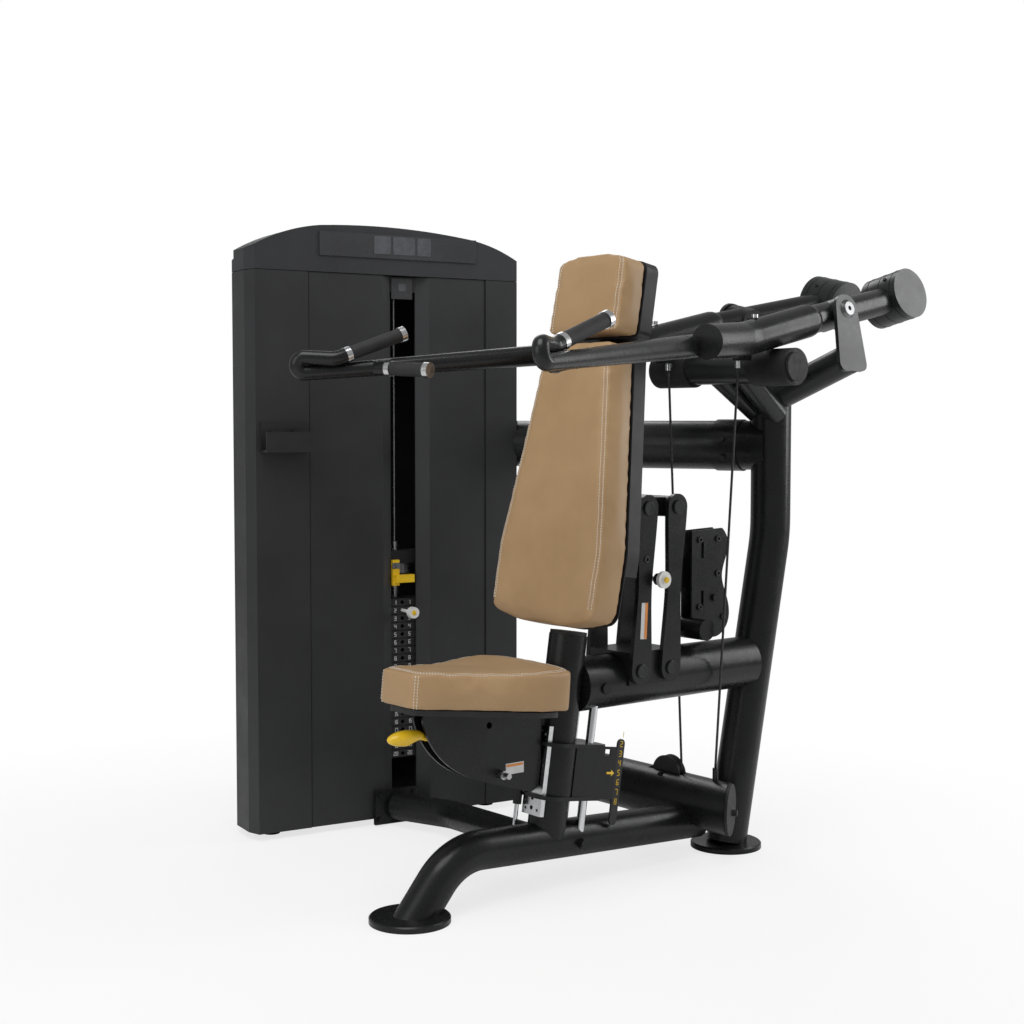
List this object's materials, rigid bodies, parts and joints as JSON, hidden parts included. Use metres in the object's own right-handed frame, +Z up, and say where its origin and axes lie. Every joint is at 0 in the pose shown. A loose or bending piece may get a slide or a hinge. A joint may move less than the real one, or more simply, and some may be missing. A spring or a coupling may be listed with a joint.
{
  "type": "shoulder press machine",
  "caption": "Selectorised shoulder press: two pivoting press arms with counterweights, tan adjustable seat, reclined back rest and a shrouded weight stack.",
  "frame": {"origin": "centre of the front foot's underside, on the floor", "axes": "+Z up; -Y the way the user faces, along the floor spine; +X the user's left, away from the weight tower"},
  "size_m": [1.5189, 1.6509, 1.5856],
  "materials": {
    "frame_black": "satin textured black powder coat",
    "arm_black": "satin black powder coat with metallic fleck",
    "head_silver": "glossier black powder coat",
    "shroud_plastic": "charcoal moulded cover, fine grain",
    "header_plastic": "dark moulded cover",
    "placard": "blank grey information plate",
    "tray_plastic": "black moulding",
    "chrome": "polished chrome",
    "steel": "zinc plated",
    "cast_iron": "painted plate",
    "rubber": "moulded black rubber",
    "grip_rubber": "ribbed rubber grip",
    "upholstery": "tan vinyl with white stitching",
    "shell_plastic": "moulded black shell",
    "board_plastic": "moulded seat base",
    "control_yellow": "yellow control",
    "scale_black": "black bar with yellow numbers",
    "pulley_nylon": "black nylon",
    "cable_black": "coated steel cable",
    "aluminium": "machined aluminium",
    "guard_black": "satin black guard"
  },
  "bodies": {
    "frame": {"frame_feet": "frame_black", "lower_cross_beam": "frame_black", "spine_tube": "frame_black", "rear_upright": "frame_black", "seat_post": "frame_black", "mid_beam": "frame_black", "upper_cross_beam": "frame_black", "joint_sleeve": "frame_black", "side_brace": "frame_black", "frame_fixings": "steel", "front_shroud": "shroud_plastic", "rear_shroud": "shroud_plastic", "tower_header": "header_plastic", "placard_plates": "placard", "accessory_tray": "tray_plastic", "tower_frame": "frame_black", "stack_guide_rods": "chrome", "rubber_feet": "rubber", "resting_plates": "cast_iron", "seat_guide_rods": "chrome", "scale_bar": "scale_black", "height_rack": "aluminium", "gas_strut_rod": "chrome", "link_mount": "frame_black", "cable_guard": "guard_black", "arm_head": "head_silver", "bumpers_and_caps": "rubber", "side_plates": "head_silver", "arm_axles": "steel", "left_cable": "cable_black", "right_cable": "cable_black"},
    "left_press_arm": {"left_arm": "arm_black", "left_grips": "grip_rubber", "left_fittings": "aluminium", "left_counterweight": "arm_black"},
    "right_press_arm": {"right_arm": "arm_black", "right_grips": "grip_rubber", "right_fittings": "aluminium", "right_counterweight": "arm_black"},
    "weight_stack": {"lifted_plates": "cast_iron", "selector_stem": "steel", "stack_cable": "cable_black"},
    "addon": {"addon_weight": "cast_iron"},
    "selector": {"selector_pin": "control_yellow"},
    "base_wheel": {"base_pulley": "pulley_nylon"},
    "guard_wheel": {"guard_pulley": "pulley_nylon"},
    "seat": {"seat_carriage": "frame_black", "gas_strut_body": "frame_black", "seat_board": "board_plastic", "seat_pad": "upholstery", "seat_bracket": "frame_black"},
    "seat_release": {"seat_lever": "control_yellow"},
    "seat_latch": {"latch_pin": "steel"},
    "front_link": {"front_links": "arm_black"},
    "rear_link": {"rear_links": "arm_black"},
    "back_rest": {"back_pad": "upholstery", "head_pad": "upholstery", "pad_shells": "shell_plastic", "pad_carrier": "frame_black"},
    "link_lock": {"pop_pin": "control_yellow"}
  },
  "joints": [
    {"name": "left_arm_hinge", "type": "hinge", "parent": "frame", "child": "left_press_arm", "pos_m": [0.2, 1.193, 1.355], "axis": [-0.9744, 0, -0.225], "range_deg": [0, 24], "deforming": ["left_cable", "right_cable"]},
    {"name": "right_arm_hinge", "type": "hinge", "parent": "frame", "child": "right_press_arm", "pos_m": [-0.2, 1.193, 1.355], "axis": [-0.9744, 0, 0.225], "range_deg": [0, 24]},
    {"name": "stack_slide", "type": "slide", "parent": "frame", "child": "weight_stack", "axis": [0, 0, 1], "range_m": [0, 0.2099], "deforming": ["stack_cable"]},
    {"name": "addon_slide", "type": "slide", "parent": "weight_stack", "child": "addon", "axis": [0, 0, 1], "range_m": [0, 0.018]},
    {"name": "selector_slide", "type": "slide", "parent": "weight_stack", "child": "selector", "axis": [0.9877, -0.1564, 0], "range_m": [0, 0.11]},
    {"name": "base_wheel_spin", "type": "hinge", "parent": "frame", "child": "base_wheel", "pos_m": [-0.095, 0.874, 0.183], "axis": [0, 1, 0], "range_deg": [-300, 300]},
    {"name": "guard_wheel_spin", "type": "hinge", "parent": "frame", "child": "guard_wheel", "pos_m": [0, 0.914, 0.64], "axis": [1, 0, 0], "range_deg": [-300, 300]},
    {"name": "seat_height", "type": "slide", "parent": "frame", "child": "seat", "axis": [0, 0.1478, 0.989], "range_m": [-0.045, 0.0675]},
    {"name": "seat_lever_hinge", "type": "hinge", "parent": "seat", "child": "seat_release", "pos_m": [0, 0.118, 0.372], "axis": [-1, 0, 0], "range_deg": [0, 4.5], "stiffness_Nm_per_rad": 6},
    {"name": "seat_latch_slide", "type": "slide", "parent": "seat", "child": "seat_latch", "axis": [1, 0, 0], "range_m": [0, 0.012], "stiffness_N_per_m": 800},
    {"name": "front_link_hinge", "type": "hinge", "parent": "frame", "child": "front_link", "pos_m": [0, 0.608, 0.493], "axis": [-1, 0, 0], "range_deg": [0, 9]},
    {"name": "rear_link_hinge", "type": "hinge", "parent": "frame", "child": "rear_link", "pos_m": [0, 0.704, 0.493], "axis": [-1, 0, 0], "range_deg": [0, 9]},
    {"name": "back_rest_hinge", "type": "hinge", "parent": "front_link", "child": "back_rest", "pos_m": [0, 0.62799, 0.87448], "axis": [-1, 0, 0], "range_deg": [-9, 0]},
    {"name": "link_lock_slide", "type": "slide", "parent": "front_link", "child": "link_lock", "axis": [1, 0, 0], "range_m": [0, 0.014], "stiffness_N_per_m": 800}
  ],
  "couplings": [
    {"joint": "right_arm_hinge", "follows": "left_arm_hinge", "ratio": 1},
    {"joint": "stack_slide", "follows": "left_arm_hinge", "m_per_rad": 0.5},
    {"joint": "base_wheel_spin", "follows": "left_arm_hinge", "ratio": 6.5},
    {"joint": "guard_wheel_spin", "follows": "left_arm_hinge", "ratio": 6.5},
    {"joint": "rear_link_hinge", "follows": "front_link_hinge", "ratio": 1},
    {"joint": "back_rest_hinge", "follows": "front_link_hinge", "ratio": -1}
  ]
}
